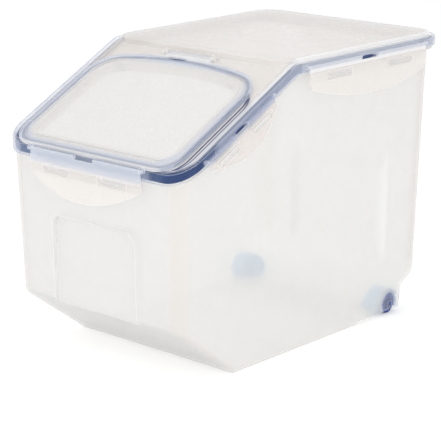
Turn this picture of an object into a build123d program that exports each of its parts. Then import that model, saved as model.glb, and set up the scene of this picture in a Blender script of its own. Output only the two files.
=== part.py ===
from build123d import *
import os
from math import atan2, cos, sin, tan

# Rice bin with a sloping flip lid, made of separate moulded pieces.
# Millimetres.  X runs across the bin, +Y to the rear, +Z up, and the floor is Z = 0.
# Y = 0 is midway between the outer faces of the front and rear clips, and the front faces -Y.

# ---- main lid: a folded rim, sloping in front and level behind ----
lid_width = 220.0
lid_length = 355.0
lid_corner_radius = 25.0
lid_wall = 2.0
deck_wall = 2.2
band_height = 9.4
band_top_radius = 1.6
band_foot_chamfer = 0.5
front_rim_height = 179.0
rear_rim_height = 252.8
slope_run = 143.5
fold_radius = 9.0

# ---- raised plateau on the level part of the main lid ----
plateau_inset = 5.0
plateau_lead = 9.5
plateau_rise = 3.2
plateau_corner_radius = 20.0
plateau_edge_radius = 2.4

# ---- body ----
body_wall = 2.2
base_side_inset = 13.0
rim_side_inset = 4.9
base_front_inset = 5.6
rim_front_inset = 1.2
base_rear_inset = 13.0
rim_rear_inset = 8.0
front_corner_radius = 16.0
rear_corner_radius = 22.0
chamfer_height = 54.0
chamfer_run = 72.0
foot_end_lift = 4.5
foot_end_inset = 115.0
foot_ramp = 7.0
tail_front_wall = 2.5
tail_roof_wall = 2.7
tail_slant = 2.0
tail_rise = 0.56
low_edge_radius = 6.0
tail_edge_radius = 3.0

# ---- sealing rim on the body, and the gasket above it ----
rim_gap = 0.4
rim_top = 0.6
rim_lip = 2.8
rim_reach = 8.4
gasket_width = 4.0
gasket_gap = 0.2
seal_rib_wall = 1.5
seal_rib_gap = 4.6
seal_rib_low = -1.2

# ---- grip recesses in the front and rear walls ----
front_grip_width = 100.0
front_grip_top = 131.0
front_grip_depth = 6.0
rear_grip_width = 106.0
rear_grip_top = 128.0
rear_grip_depth = 13.0
grip_corner_radius = 11.0

# ---- flip lid, measured along the slope ----
flip_side_inset = 13.0
flip_front = 4.0
flip_bow = 14.5
flip_front_radius = 23.0
flip_rear_radius = 34.0
flip_wall = 1.8
flip_edge_radius = 1.0
flip_gap = 0.8
flip_gasket_height = 2.3
flip_gasket_width = 4.0
flip_gasket_seat = 0.05
flip_panel_inset = 10.0
flip_panel_rise = 1.5
flip_panel_edge_radius = 0.9
mouth_inset = 15.0
neck_wall = 2.0
neck_low = 4.0
neck_gap = 0.5

# ---- flip-lid hinge ----
flip_hinge_fold_gap = 11.865
flip_hinge_back = 4.0
flip_hinge_rise = 12.6
flip_knuckle_radius = 2.8
flip_knuckle_width = 52.0
flip_pin_radius = 1.6
flip_ear_width = 4.6
flip_ear_radius = 3.3
hinge_side_gap = 0.4

# ---- clips ----
clip_wall = 2.0
clip_barrel_radius = 1.5
clip_pin_radius = 0.9
clip_ear_width = 2.6
clip_ear_radius = 1.7
clip_stand_off = 2.0
clip_hinge_rise = 4.6
clip_notch_width = 23.0
slope_clip_notch_width = 16.0
slot_frame_wall = 2.4
slot_frame_rise = 0.6
slot_frame_radius = 2.0
clip_bend = 8.0
clip_flare = 6.0
running_gap = 0.05
lug_height = 2.2
lug_overhang = 1.0
lug_chamfer = 0.6
lug_depth = 5.5
slot_above = 0.6
slot_below = 2.2
slot_side_gap = 1.2

front_clip_length = 131.0
front_clip_drop = 37.0
front_clip_end_drop = 19.0
front_clip_hinge_out = 4.2
front_clip_hinge_rise = 0.6
front_lug_offset = 33.5
front_lug_length = 28.0

rear_clip_length = 131.0
rear_clip_drop = 31.6
rear_clip_end_drop = 18.7
rear_lug_offset = 33.5
rear_lug_length = 28.0

slope_clip_length = 90.0
slope_clip_start = 33.3
slope_clip_drop = 20.5
slope_clip_end_drop = 9.0
slope_lug_offset = 23.0
slope_lug_length = 22.0

flat_clip_length = 165.0
flat_clip_start = 11.0
flat_clip_drop = 31.6
flat_clip_end_drop = 18.7
flat_lug_offset = 43.5
flat_lug_length = 32.0

# ---- wheels at the rear lower corners ----
wheel_radius = 10.0
wheel_width = 13.4
wheel_floor_gap = 0.3
wheel_inset = 59.0
wheel_edge_radius = 1.2
wheel_side_gap = 1.0
cheek_wall = 2.2
cheek_slot_width = 2.8
wheel_house_gap = 2.0
axle_radius = 2.0
axle_grip = 8.0
axle_end_recess = 0.4
axle_end_radius = 0.5
hub_recess_radius = 5.2
hub_recess_depth = 3.0
boss_radius = 5.0

# ---- derived places ----
front_y = (front_clip_hinge_out - clip_stand_off - lid_length) / 2
rear_y = front_y + lid_length
half_width = lid_width / 2
slope_angle = atan2(rear_rim_height - front_rim_height, slope_run)
slope_rise = tan(slope_angle)
slope_length = slope_run / cos(slope_angle)
crease_y = front_y + slope_run
base_side = half_width - base_side_inset
rim_side = half_width - rim_side_inset
flip_side = half_width - flip_side_inset
flip_hinge_along = slope_length - flip_hinge_fold_gap
flip_shoulder = flip_hinge_along - flip_hinge_back - flip_bow
front_clip_hinge_height = front_rim_height + band_height + front_clip_hinge_rise
wheel_z = wheel_radius + wheel_floor_gap
wheel_y = rear_y - wheel_inset
tail_inset = wheel_inset - wheel_radius - wheel_house_gap - tail_front_wall
tail_top = wheel_z + wheel_radius + wheel_house_gap + tail_roof_wall
deck_low = band_height - deck_wall
reach = 60.0
over_all = rear_rim_height + 2 * reach
slope_plane = Plane(
    origin=(0, front_y, front_rim_height),
    x_dir=(1, 0, 0),
    z_dir=(0, -sin(slope_angle), cos(slope_angle)),
)


# ---- shared outlines ----
def rounded_outline(side, front, rear, front_radius, rear_radius):
    """Plan outline with its own corner radius at the front and at the rear."""
    outline = Pos(0, (front + rear) / 2) * Rectangle(2 * side, rear - front)
    outline = fillet(outline.vertices().group_by(Axis.Y)[0], front_radius)
    return fillet(outline.vertices().group_by(Axis.Y)[-1], rear_radius)


def lid_outline(inset):
    """Plan outline that lies a given distance inside the lid's outer face."""
    radius = lid_corner_radius - inset
    return rounded_outline(half_width - inset, front_y + inset, rear_y - inset, radius, radius)


def upright(outline, low, high):
    """Straight-walled block over a plan outline."""
    return extrude(Pos(0, 0, low) * outline, high - low)


def lid_ring(outer_inset, inner_inset):
    """Tall ring between two insets of the lid's plan outline."""
    outer = upright(lid_outline(outer_inset), 0, over_all)
    return outer - upright(lid_outline(inner_inset), 0, over_all)


def slope_height(y, rise):
    """Height of the sloping sheet that lies a given distance above the band's lower edge."""
    return front_rim_height + (y - front_y) * slope_rise + rise / cos(slope_angle)


def fold_line(rise):
    """The folded rim line seen from the side, a given distance above the band's lower edge."""
    front_end = (front_y - reach, slope_height(front_y - reach, rise))
    corner = (crease_y - rise * tan(slope_angle / 2), rear_rim_height + rise)
    rear_end = (rear_y + reach, rear_rim_height + rise)
    return FilletPolyline(front_end, corner, rear_end, radius=fold_radius + rise)


def fold_slab(low, high):
    """Sheet that follows the fold between two rises, wider and longer than the bin."""
    lower = fold_line(low)
    upper = fold_line(high)
    edges = lower.edges() + upper.edges()
    edges += [Edge.make_line(lower @ 0, upper @ 0), Edge.make_line(lower @ 1, upper @ 1)]
    return extrude(Plane.YZ * make_face(edges), lid_width, both=True)


# ---- clip places: X along the clip, Y up the band, Z outwards ----
def slope_clip_plane():
    along = slope_clip_start + slope_clip_length / 2
    y = front_y + along * cos(slope_angle) - clip_hinge_rise * sin(slope_angle)
    z = front_rim_height + along * sin(slope_angle) + clip_hinge_rise * cos(slope_angle)
    return Plane(
        origin=(half_width + clip_stand_off, y, z),
        x_dir=(0, cos(slope_angle), sin(slope_angle)),
        z_dir=(1, 0, 0),
    )


def flat_clip_plane():
    middle = crease_y + flat_clip_start + flat_clip_length / 2
    origin = (half_width + clip_stand_off, middle, rear_rim_height + clip_hinge_rise)
    return Plane(origin=origin, x_dir=(0, 1, 0), z_dir=(1, 0, 0))


def front_clip_plane():
    origin = (0, front_y - front_clip_hinge_out, front_clip_hinge_height)
    return Plane(origin=origin, x_dir=(1, 0, 0), z_dir=(0, -1, 0))


def rear_clip_plane():
    origin = (0, rear_y + clip_stand_off, rear_rim_height + clip_hinge_rise)
    return Plane(origin=origin, x_dir=(-1, 0, 0), z_dir=(0, 1, 0))


front_lug_drop = front_clip_hinge_height - front_rim_height + lug_depth
band_lug_drop = clip_hinge_rise + lug_depth


# ---- body ----
def wall_side(z):
    """Half width of the drafted body wall at a height."""
    return base_side + (rim_side - base_side) * z / rear_rim_height


def wall_front(z):
    """Front face of the drafted body wall at a height."""
    inset = base_front_inset + (rim_front_inset - base_front_inset) * z / rear_rim_height
    return front_y + inset


def wall_rear(z):
    """Rear face of the drafted body wall at a height."""
    inset = base_rear_inset + (rim_rear_inset - base_rear_inset) * z / rear_rim_height
    return rear_y - inset


def side_cut(*points):
    """Block across the whole bin over an outline drawn in the side view."""
    return extrude(Plane.YZ * make_face(Polyline(*points, close=True).edges()), lid_width, both=True)


def tail_step(inset):
    """Space below the raised tail, from the end of the foot to the rear; inset lifts it for the inside."""
    foot_end = rear_y - foot_end_inset - inset / 2
    lifted = foot_end_lift + inset
    return side_cut(
        (foot_end, -reach),
        (foot_end, inset),
        (foot_end + foot_ramp, lifted),
        (rear_y + reach, lifted),
        (rear_y + reach, -reach),
    )


def low_edges(tub, start, end):
    """Edges below the top of the front chamfer, between two places along the bin."""
    edges = [edge for edge in tub.edges() if edge.center().Z < chamfer_height + low_edge_radius]
    return [edge for edge in edges if start <= edge.center().Y <= end]


def long_uprights(block, height):
    """Edges of a block that climb more than half of its height."""
    return ShapeList(edge for edge in block.edges() if abs((edge @ 1).Z - (edge @ 0).Z) > height / 2)


def tub_block(inset, high):
    """Drafted tub with rounded corners and chamfered ends; inset gives the inside of the wall."""
    low = inset
    walls = side_cut(
        (wall_front(low) + inset, low),
        (wall_front(high) + inset, high),
        (wall_rear(high) - inset, high),
        (wall_rear(low) - inset, low),
    )
    low_side = wall_side(low) - inset
    high_side = wall_side(high) - inset
    corners = [(-low_side, low), (-high_side, high), (high_side, high), (low_side, low)]
    across_view = make_face(Polyline(*corners, close=True).edges())
    walls &= extrude(Plane.XZ * across_view, lid_length, both=True)
    walls = fillet(long_uprights(walls, high - low).group_by(Axis.Y)[0], front_corner_radius - inset)
    walls = fillet(long_uprights(walls, high - low).group_by(Axis.Y)[-1], rear_corner_radius - inset)

    chamfer_slope = chamfer_height / chamfer_run
    lift = inset / cos(atan2(chamfer_height, chamfer_run))
    nose_y = front_y - reach
    chamfer_start = wall_front(chamfer_height)
    nose_z = chamfer_height + (chamfer_start - nose_y) * chamfer_slope + lift
    foot_front = chamfer_start + chamfer_run + lift / chamfer_slope
    walls -= side_cut((nose_y, nose_z), (foot_front, 0), (foot_front, -reach), (nose_y, -reach))
    tail_low = rear_y - tail_inset - inset
    tail_high_z = tail_top + inset
    tail_out_y = rear_y + reach
    tail_out_z = tail_high_z + (tail_out_y - tail_low - tail_slant) * tail_rise
    tail_lean = tail_slant / (tail_top - foot_end_lift)
    walls -= side_cut(
        (tail_low - tail_lean * reach, tail_high_z - reach - tail_slant / tail_lean),
        (tail_low + tail_slant, tail_high_z),
        (tail_out_y, tail_out_z),
        (tail_out_y, -2 * reach),
    )
    walls = fillet(low_edges(walls, front_y - reach, tail_low - tail_slant), low_edge_radius - inset)
    return fillet(low_edges(walls, tail_low - tail_slant, rear_y + reach), tail_edge_radius - inset)


def grip_block(width, top, depth, wall_face, inset):
    """Block that sinks a hand grip into an end wall; inset grows it for the inside face."""
    side = width / 2 + inset
    height = top + inset
    outline = Pos(0, height / 2) * Rectangle(2 * side, height)
    outline = fillet(outline.vertices().group_by(Axis.Y)[-1], grip_corner_radius + inset)
    sheet = Plane(origin=(0, wall_face, 0), x_dir=(1, 0, 0), z_dir=(0, -1, 0)) * outline
    return extrude(sheet, depth + inset, both=True)


def grips(inset):
    """Both grip recesses, the rear one deeper than the front one."""
    front_face = wall_front(front_grip_top)
    rear_face = wall_rear(rear_grip_top)
    front = grip_block(front_grip_width, front_grip_top, front_grip_depth, front_face, inset)
    return front + grip_block(rear_grip_width, rear_grip_top, rear_grip_depth, rear_face, inset)


def wheel_pocket(side):
    """Round pocket for one wheel, open below and shut at the side by a cheek."""
    return on_side(turned(wheel_radius + wheel_house_gap, pocket_floor_x, cheek_inner_x), side)


def pocket_wall(side):
    """Solid round the pocket: the wall over it and the cheek beside it."""
    radius = wheel_radius + wheel_house_gap + body_wall
    return on_side(turned(radius, pocket_floor_x - body_wall, cheek_inner_x + reach), side)


def keyhole(side):
    """Hole through the cheek for the axle's end, with the slot below it that lets the axle in."""
    hole = turned(axle_radius + running_gap, cheek_inner_x - running_gap, cheek_inner_x + reach)
    slot = Box(reach, cheek_slot_width, reach, align=(Align.MIN, Align.CENTER, Align.MAX))
    return on_side(hole + Pos(cheek_inner_x - running_gap, wheel_y, wheel_z) * slot, side)


def lug_pair(plane, drop, offset, length, root):
    """Two catches that stand out of the body wall below the band."""
    tip = -clip_wall / 2 + lug_overhang
    lugs = Part()
    for side in (-1, 1):
        lug = Box(length, lug_height, root + tip, align=(Align.CENTER, Align.CENTER, Align.MAX))
        lug = chamfer(lug.faces().sort_by(Axis.Z)[-1].edges().filter_by(Axis.X), lug_chamfer)
        lugs += plane * Pos(side * offset, -drop, tip) * lug
    return lugs


def make_body():
    top = rear_rim_height + reach
    outer = tub_block(0, top) - fold_slab(rim_top, 3 * reach)
    outer -= tail_step(0)
    outer -= grips(0)
    cavity = tub_block(body_wall, top) - tail_step(body_wall)
    cavity -= grips(body_wall)
    rim = lid_ring(lid_wall + rim_gap, lid_wall + gasket_width + rim_reach) & fold_slab(-rim_lip, rim_top)
    front_root = front_clip_hinge_out + base_front_inset
    side_root = clip_stand_off + half_width - wall_side(front_rim_height) + body_wall / 2
    lugs = lug_pair(front_clip_plane(), front_lug_drop, front_lug_offset, front_lug_length, front_root)
    lugs += lug_pair(rear_clip_plane(), band_lug_drop, rear_lug_offset, rear_lug_length,
                     clip_stand_off + rim_rear_inset + body_wall / 2)
    side_lugs = lug_pair(slope_clip_plane(), band_lug_drop, slope_lug_offset, slope_lug_length, side_root)
    side_lugs += lug_pair(flat_clip_plane(), band_lug_drop, flat_lug_offset, flat_lug_length, side_root)
    lugs += side_lugs + mirror(side_lugs, Plane.YZ)
    body = outer + rim + lugs
    for side in (-1, 1):
        body -= wheel_pocket(side)
        cavity -= pocket_wall(side)
        cavity -= axle_boss(side)
    body -= cavity
    for side in (-1, 1):
        body -= axle_hole(side)
        body -= keyhole(side)
    return body


# ---- wheels and axles ----
cheek_inner_x = wall_side(wheel_z) - cheek_wall
wheel_outer_x = cheek_inner_x - wheel_side_gap
wheel_inner_x = wheel_outer_x - wheel_width
pocket_floor_x = wheel_inner_x - wheel_side_gap


def turned(radius, low, high):
    """Cylinder about the wheel's own line, between two distances from the middle of the bin."""
    shape = Cylinder(radius, high - low, rotation=(0, 90, 0), align=(Align.CENTER, Align.CENTER, Align.MIN))
    return Pos(low, wheel_y, wheel_z) * shape


def on_side(shape, side):
    return shape if side > 0 else mirror(shape, Plane.YZ)


def axle_boss(side):
    """Solid plug behind the pocket that grips the axle pin."""
    return on_side(turned(boss_radius, pocket_floor_x - body_wall - axle_grip, pocket_floor_x), side)


def axle_hole(side):
    return on_side(turned(axle_radius, pocket_floor_x - axle_grip, pocket_floor_x + wheel_side_gap), side)


def make_wheel(side):
    wheel = turned(wheel_radius, wheel_inner_x, wheel_outer_x)
    wheel = fillet(wheel.edges().filter_by(GeomType.CIRCLE), wheel_edge_radius)
    wheel -= turned(hub_recess_radius, wheel_outer_x - hub_recess_depth, wheel_outer_x)
    wheel -= turned(axle_radius + running_gap, wheel_inner_x, wheel_outer_x)
    return on_side(wheel, side)


def make_axle(side):
    """Plain pin pressed into the boss, through the wheel and into the cheek's keyhole."""
    pin = turned(axle_radius, pocket_floor_x - axle_grip, cheek_inner_x + cheek_wall - axle_end_recess)
    pin = fillet(pin.edges().filter_by(GeomType.CIRCLE).sort_by(Axis.X)[-1:], axle_end_radius)
    return on_side(pin, side)


# ---- main lid ----
def flip_outline(inset):
    """Outline of the flip lid in the plane of the slope, drawn in by a given distance."""
    left_front = (-flip_side, flip_front)
    left_rear = (-flip_side, flip_shoulder)
    right_rear = (flip_side, flip_shoulder)
    right_front = (flip_side, flip_front)
    edges = Polyline(left_rear, left_front, right_front, right_rear).edges()
    edges += ThreePointArc(left_rear, (0, flip_shoulder + flip_bow), right_rear).edges()
    outline = make_face(edges)
    outline = fillet(outline.vertices().group_by(Axis.Y)[0], flip_front_radius)
    outline = fillet(outline.vertices().group_by(Axis.Y)[-1], flip_rear_radius)
    if inset:
        outline = offset(outline, -inset)
    return outline


def slope_block(inset, low, high):
    """Block over the flip lid's outline, between two rises above the band's lower edge."""
    return slope_plane * Pos(0, 0, low) * extrude(flip_outline(inset), high - low)


def slope_ring(outer_inset, inner_inset, low, high):
    return slope_block(outer_inset, low, high) - slope_block(inner_inset, low - 1, high + 1)


def across(radius, low, high, along, rise):
    """Cylinder along X at a place on the slope, between two X values."""
    shape = Cylinder(radius, high - low, rotation=(0, 90, 0), align=(Align.CENTER, Align.CENTER, Align.MIN))
    return slope_plane * Pos(low, along, rise) * shape


def flip_hinge_ears():
    """Two ears on the deck that hold the flip lid's stub pins."""
    ears = Part()
    low = flip_knuckle_width / 2 + hinge_side_gap
    foot = flip_hinge_rise - deck_low
    for side in (-1, 1):
        ear = across(flip_ear_radius, low, low + flip_ear_width, flip_hinge_along, flip_hinge_rise)
        post = Box(flip_ear_width, 2 * flip_ear_radius, foot, align=(Align.MIN, Align.CENTER, Align.MAX))
        ear += slope_plane * Pos(low, flip_hinge_along, flip_hinge_rise) * post
        ear -= across(flip_pin_radius + running_gap, low - 1, low + flip_ear_width + 1,
                      flip_hinge_along, flip_hinge_rise)
        ears += on_side(ear, side)
    return ears


def clip_ears(plane, length):
    """Ears at both ends of a clip that hold its stub pins."""
    ears = Part()
    for side in (-1, 1):
        middle = side * (length / 2 + hinge_side_gap + clip_ear_width / 2)
        ear = Cylinder(clip_ear_radius, clip_ear_width, rotation=(0, 90, 0))
        ear += Box(clip_ear_width, 2 * clip_ear_radius, clip_stand_off + lid_wall / 2,
                   align=(Align.CENTER, Align.CENTER, Align.MAX))
        ear -= Cylinder(clip_pin_radius + running_gap, clip_ear_width + 1, rotation=(0, 90, 0))
        ears += plane * Pos(middle, 0, 0) * ear
    return ears


def plateau_outline(inset):
    front = crease_y - plateau_lead + inset
    side = half_width - plateau_inset - inset
    radius = plateau_corner_radius - inset
    return rounded_outline(side, front, rear_y - plateau_inset - inset, radius, radius)


def rim_edges(cap, way):
    """The closed line of edges round the cap's top, for way 1, or round its foot, for way -1."""
    faces = [face for face in cap.faces() if face.normal_at().Z * way > cos(slope_angle) / 2]
    edges = [edge for face in faces for edge in face.edges()]
    return [edge for edge in edges if sum(edge.is_same(other) for other in edges) == 1]


def make_main_lid():
    cap = upright(lid_outline(0), 0, over_all) & fold_slab(0, band_height)
    cap = fillet(rim_edges(cap, 1), band_top_radius)
    cap = chamfer(rim_edges(cap, -1), band_foot_chamfer)
    cap -= upright(lid_outline(lid_wall), 0, over_all) & fold_slab(-lid_wall, deck_low)
    plateau_top = rear_rim_height + band_height + plateau_rise
    plateau = upright(plateau_outline(0), rear_rim_height - reach, plateau_top)
    plateau = fillet(plateau.faces().sort_by(Axis.Z)[-1].edges(), plateau_edge_radius)
    hollow = upright(plateau_outline(deck_wall), rear_rim_height - 2 * reach, plateau_top - deck_wall)
    hood = plateau & fold_slab(deck_low, reach)
    rib_outer = lid_wall + rim_gap + gasket_width + seal_rib_gap
    rib = lid_ring(rib_outer, rib_outer + seal_rib_wall)
    rib_low = rib & fold_slab(seal_rib_low, band_height - deck_wall / 2)
    rib_high = (rib & fold_slab(deck_low - 1, reach)) & upright(
        plateau_outline(deck_wall / 2), 0, plateau_top - deck_wall / 2)
    lid = (cap + hood) - hollow
    lid += rib_low + rib_high
    neck_high = band_height + flip_gasket_height + flip_panel_rise - neck_gap
    lid -= slope_block(mouth_inset, -1, reach)
    lid += slope_ring(mouth_inset - neck_wall, mouth_inset, neck_low, neck_high)
    lid += flip_hinge_ears()
    lid += clip_ears(rear_clip_plane(), rear_clip_length)
    side_ears = clip_ears(slope_clip_plane(), slope_clip_length)
    side_ears += clip_ears(flat_clip_plane(), flat_clip_length)
    return lid + side_ears + mirror(side_ears, Plane.YZ)


def make_main_gasket():
    outer = lid_wall + rim_gap
    return lid_ring(outer, outer + gasket_width) & fold_slab(rim_top, deck_low)


# ---- flip lid ----
def make_flip_lid():
    sheet_low = band_height + flip_gasket_height
    sheet_high = sheet_low + flip_wall
    low = band_height + flip_gap
    panel_high = sheet_high + flip_panel_rise
    lid = slope_block(0, low, sheet_high)
    lid = fillet(lid.faces().sort_by(slope_axis)[-1].edges(), flip_edge_radius)
    lid -= slope_block(flip_wall, low - 1, sheet_low)
    rib_inset = flip_wall + gasket_gap + flip_gasket_width + gasket_gap
    lid += slope_ring(rib_inset, rib_inset + flip_wall, low, sheet_low)
    panel = slope_block(flip_panel_inset, sheet_low, panel_high)
    lid += fillet(panel.faces().sort_by(slope_axis)[-1].edges(), flip_panel_edge_radius)
    lid -= slope_block(flip_panel_inset + flip_wall, low, panel_high - flip_wall)
    half = flip_knuckle_width / 2
    lid += across(flip_knuckle_radius, -half, half, flip_hinge_along, flip_hinge_rise)
    web = Box(flip_knuckle_width, flip_hinge_back + flip_wall, flip_wall,
              align=(Align.CENTER, Align.MAX, Align.MIN))
    lid += slope_plane * Pos(0, flip_hinge_along, sheet_low) * web
    pin_reach = half + hinge_side_gap + flip_ear_width
    lid += across(flip_pin_radius, -pin_reach, pin_reach, flip_hinge_along, flip_hinge_rise)
    return lid + front_clip_ears()


slope_axis = Axis((0, 0, 0), (0, -sin(slope_angle), cos(slope_angle)))


def front_clip_ears():
    """Ears on the front edge of the flip lid that hold the front clip's stub pins."""
    ears = Part()
    hinge = front_clip_plane().origin
    edge_low = slope_plane.from_local_coords((0, flip_front, band_height + flip_gap))
    edge_high = slope_plane.from_local_coords((0, flip_front + flip_wall, band_height + flip_gasket_height))
    r = clip_ear_radius
    outline = Polyline(
        (hinge.Y - r, hinge.Z - r),
        (edge_low.Y - rim_gap, hinge.Z - r),
        (edge_low.Y, edge_low.Z),
        (edge_high.Y, edge_high.Z),
        (edge_high.Y - flip_wall, edge_high.Z + flip_wall / 2),
        (hinge.Y - r, hinge.Z + r),
        close=True,
    )
    start = front_clip_length / 2 + hinge_side_gap
    for side in (-1, 1):
        ear = Pos(start, 0, 0) * extrude(Plane.YZ * make_face(outline.edges()), clip_ear_width)
        bore = Cylinder(clip_pin_radius + running_gap, reach, rotation=(0, 90, 0))
        ear -= Pos(start, hinge.Y, hinge.Z) * bore
        ears += on_side(ear, side)
    return ears


def make_flip_gasket():
    outer = flip_wall + gasket_gap
    low = band_height + flip_gasket_seat
    return slope_ring(outer, outer + flip_gasket_width, low, band_height + flip_gasket_height)


# ---- clips ----
def make_clip(plane, length, drop, end_drop, lug_drop, lug_offset, lug_length, notch_width=clip_notch_width):
    """Locking clip: hinge barrel, plate with two slots and a flared lower edge."""
    half = length / 2
    wall = clip_wall / 2
    bend_y = -(lug_drop + lug_height / 2 + slot_below)
    turn = atan2(clip_flare, drop + bend_y)
    faces = [
        FilletPolyline(
            (0, out),
            (bend_y + out * tan(turn / 2), out),
            (-drop + out * sin(turn), clip_flare + out * cos(turn)),
            radius=clip_bend - out,
        )
        for out in (wall, -wall)
    ]
    edges = faces[0].edges() + faces[1].edges()
    edges += [Edge.make_line(faces[0] @ 0, faces[1] @ 0), Edge.make_line(faces[0] @ 1, faces[1] @ 1)]
    plate = extrude(Plane.YZ * make_face(edges), half, both=True)
    outline = make_face(
        Polyline((-half, -end_drop), (-half, wall), (half, wall), (half, -end_drop)).edges()
        + ThreePointArc((-half, -end_drop), (0, -drop), (half, -end_drop)).edges()
    )
    plate &= extrude(outline, reach, both=True)
    slot_top = -lug_drop + lug_height / 2 + slot_above
    slot_low = -lug_drop - lug_height / 2 - slot_below
    slot_length = lug_length + 2 * slot_side_gap
    slot_height = slot_top - slot_low
    slot = Box(slot_length, slot_height, reach)
    slot = fillet(slot.edges().filter_by(Axis.Z), lug_height / 2)
    frame_rise = wall + slot_frame_rise
    frame = Box(slot_length + 2 * slot_frame_wall, slot_height + 2 * slot_frame_wall, frame_rise,
                align=(Align.CENTER, Align.CENTER, Align.MIN))
    frame = fillet(frame.edges().filter_by(Axis.Z), slot_frame_radius)
    for side in (-1, 1):
        place = Pos(side * lug_offset, (slot_top + slot_low) / 2, 0)
        plate = plate + place * frame - place * slot
    clip = plate + Cylinder(clip_barrel_radius, length, rotation=(0, 90, 0))
    notch = Box(notch_width, 4 * clip_barrel_radius, reach)
    clip -= Pos(0, clip_barrel_radius / 2, 0) * notch
    pins = Cylinder(clip_pin_radius, length + 2 * (hinge_side_gap + clip_ear_width), rotation=(0, 90, 0))
    pins -= Box(length - 2 * clip_wall, reach, reach)
    return plane * (clip + pins)


def make_side_clip(plane, length, drop, end_drop, lug_offset, lug_length, notch_width, side):
    clip = make_clip(plane, length, drop, end_drop, band_lug_drop, lug_offset, lug_length, notch_width)
    return on_side(clip, side)


# ---- write every piece ----
sides = {"left": -1, "right": 1}
pieces = {
    "body": make_body(),
    "main_lid": make_main_lid(),
    "main_gasket": make_main_gasket(),
    "flip_lid": make_flip_lid(),
    "flip_gasket": make_flip_gasket(),
    "front_clip": make_clip(front_clip_plane(), front_clip_length, front_clip_drop, front_clip_end_drop,
                            front_lug_drop, front_lug_offset, front_lug_length),
    "rear_clip": make_clip(rear_clip_plane(), rear_clip_length, rear_clip_drop, rear_clip_end_drop,
                           band_lug_drop, rear_lug_offset, rear_lug_length),
}
for name, side in sides.items():
    pieces["slope_clip_" + name] = make_side_clip(
        slope_clip_plane(), slope_clip_length, slope_clip_drop, slope_clip_end_drop,
        slope_lug_offset, slope_lug_length, slope_clip_notch_width, side)
    pieces["flat_clip_" + name] = make_side_clip(
        flat_clip_plane(), flat_clip_length, flat_clip_drop, flat_clip_end_drop,
        flat_lug_offset, flat_lug_length, clip_notch_width, side)
    pieces["wheel_" + name] = make_wheel(side)
    pieces["axle_" + name] = make_axle(side)

os.makedirs("parts", exist_ok=True)
for name, piece in pieces.items():
    export_step(piece, "parts/" + name + ".step")
    box = piece.bounding_box()
    print(name, len(piece.solids()), "solids", round(piece.volume / 1000, 2), "cm3", box.min, box.max)
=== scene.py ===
import logging
import math
from dataclasses import dataclass, replace
from enum import Enum
from typing import Mapping, Optional

import bpy
import numpy as np
from mathutils import Matrix, Vector


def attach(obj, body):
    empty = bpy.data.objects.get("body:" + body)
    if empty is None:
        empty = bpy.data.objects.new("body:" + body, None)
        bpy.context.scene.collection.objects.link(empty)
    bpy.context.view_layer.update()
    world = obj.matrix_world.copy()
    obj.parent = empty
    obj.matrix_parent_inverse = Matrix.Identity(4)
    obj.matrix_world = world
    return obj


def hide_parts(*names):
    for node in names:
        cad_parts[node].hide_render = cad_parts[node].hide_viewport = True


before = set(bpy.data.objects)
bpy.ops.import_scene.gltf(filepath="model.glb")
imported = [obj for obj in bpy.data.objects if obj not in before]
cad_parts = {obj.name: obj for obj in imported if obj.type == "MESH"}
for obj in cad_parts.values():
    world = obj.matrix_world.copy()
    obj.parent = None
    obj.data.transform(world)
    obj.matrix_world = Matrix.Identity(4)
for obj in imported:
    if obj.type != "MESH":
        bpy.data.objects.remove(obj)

# A rice bin of see-through polypropylene: the looks of its pieces, its light and its camera.
# Lengths are in metres, and in millimetres where a name ends in _mm. X runs across the bin, +Y to the
# rear, +Z up, and the floor is Z = 0.

Tree = bpy.types.NodeTree
Socket = bpy.types.NodeSocket
Point = tuple[float, float, float]
Length = float | np.ndarray         # one length, or an array of them

MM = 0.001
FAR = 1.0                           # a length beyond every piece of the bin
WHITE = "FFFFFF"
NOISE_LOW, NOISE_HIGH = 0.3, 0.7    # nearly all values of a noise texture lie between these
BARE_SPECULAR = 0.5                 # specular level of a bare polished surface
EDGE_SAMPLES = 4                    # samples of the rounded normal that finds the rubbed edges

log = logging.getLogger("rice_bin")


# ---------------------------------------------------------------- nodes and colours
def linear(code: str) -> tuple[float, float, float, float]:
    """Turns an sRGB hex colour into the linear values that Blender works in, by the sRGB curve.

    Args:
        code: Six hex digits, with or without a leading #.

    Returns:
        Linear red, green and blue, and an alpha of 1.
    """
    parts = [int(code.lstrip("#")[i:i + 2], 16) / 255 for i in (0, 2, 4)]
    channels = [c / 12.92 if c <= 0.04045 else ((c + 0.055) / 1.055) ** 2.4 for c in parts]
    return (*channels, 1.0)


def add(tree: Tree, kind: str, settings: Optional[Mapping] = None,
        links: Optional[Mapping] = None) -> bpy.types.Node:
    """Adds one node, sets it up and joins it to what feeds it.

    Args:
        tree: The node tree that takes the node.
        kind: The node's Blender type.
        settings: Values by the name or number of an input, or by the name of a property.
        links: Output sockets by the name or number of the input that they feed.

    Returns:
        The new node.
    """
    node = tree.nodes.new(kind)
    for key, value in (settings or {}).items():
        if isinstance(key, int) or key in node.inputs:
            node.inputs[key].default_value = value
        else:
            setattr(node, key, value)
    for key, source in (links or {}).items():
        tree.links.new(source, node.inputs[key])
    return node


def new_material(name: str) -> tuple[bpy.types.Material, Tree]:
    """Makes a material with an empty node tree.

    Args:
        name: The material's name.

    Returns:
        The material and its node tree.
    """
    material = bpy.data.materials.new(name)
    material.use_nodes = True
    material.node_tree.nodes.clear()
    return material, material.node_tree


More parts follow.
